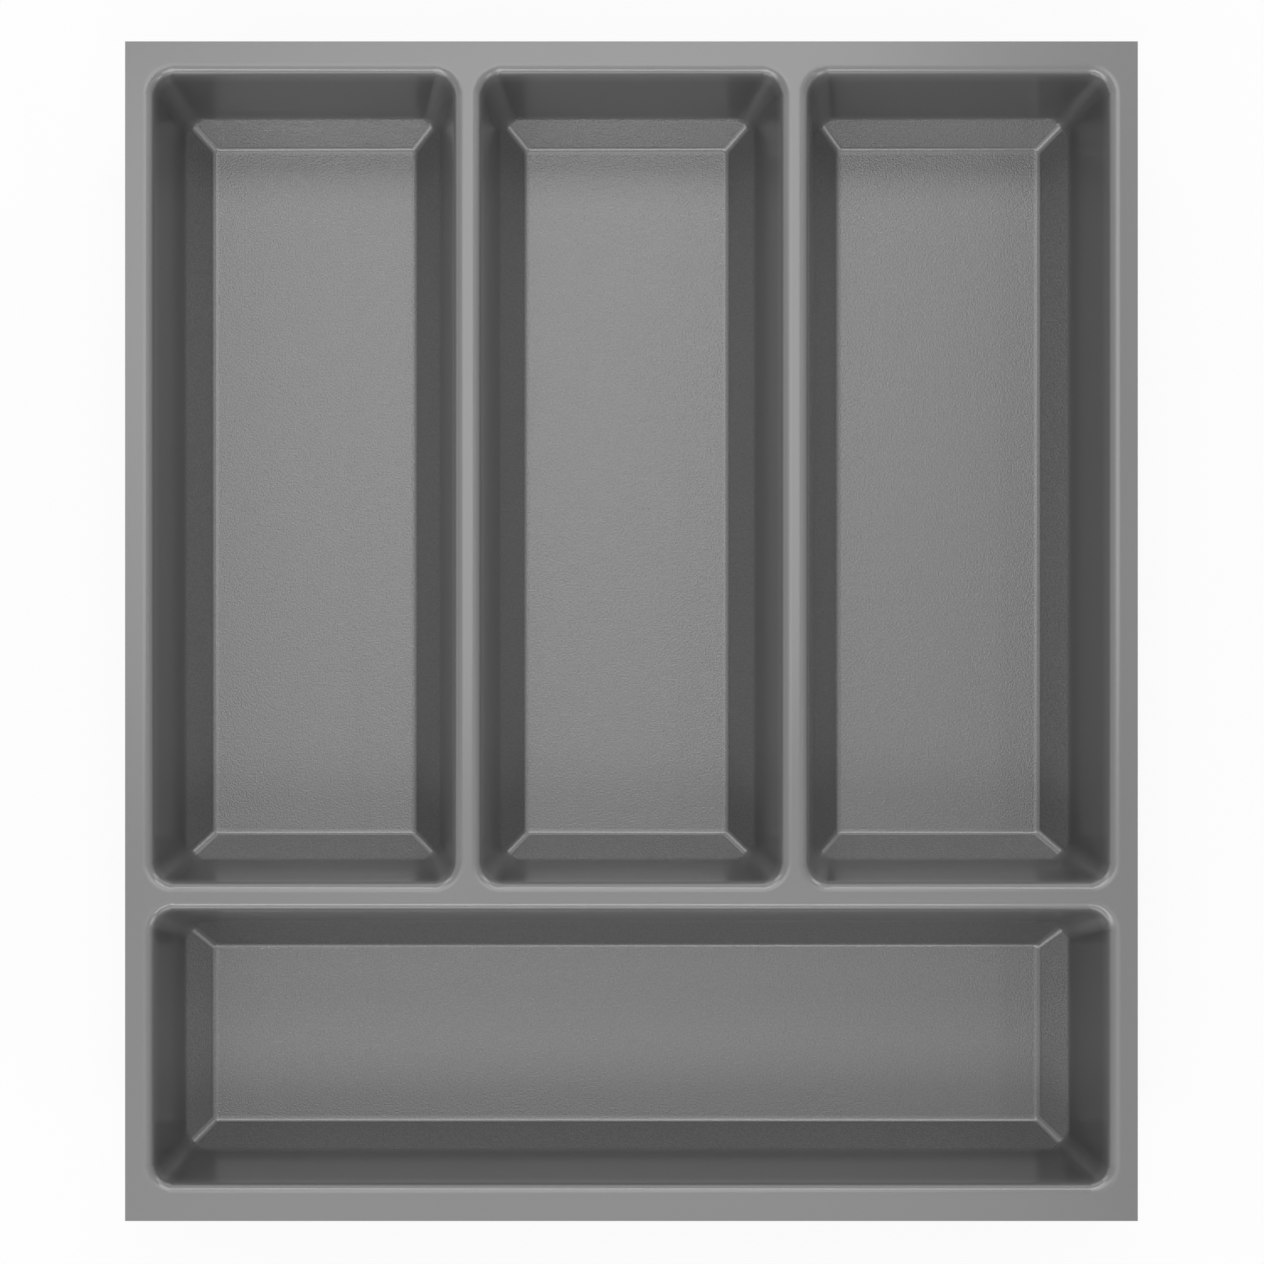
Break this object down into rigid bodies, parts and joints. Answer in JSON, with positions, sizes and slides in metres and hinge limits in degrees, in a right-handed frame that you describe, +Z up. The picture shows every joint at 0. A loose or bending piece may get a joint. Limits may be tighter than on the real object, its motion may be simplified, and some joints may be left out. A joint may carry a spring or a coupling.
{
  "type": "cutlery tray",
  "caption": "Grey formed-plastic drawer insert with long cutlery compartments side by side and a wide one across the front, with rolled lips and bevelled floors.",
  "frame": {"origin": "under the middle of the tray, on the surface it stands on", "axes": "+X to the right across the drawer, +Y towards the drawer's back, +Z up"},
  "size_m": [0.37, 0.431, 0.05],
  "materials": {
    "grey_plastic": "satin with a fine moulded grain"
  },
  "bodies": {
    "root": {"rim_deck": "grey_plastic", "front_compartment": "grey_plastic", "left_compartment": "grey_plastic", "middle_compartment": "grey_plastic", "right_compartment": "grey_plastic"}
  },
  "joints": []
}
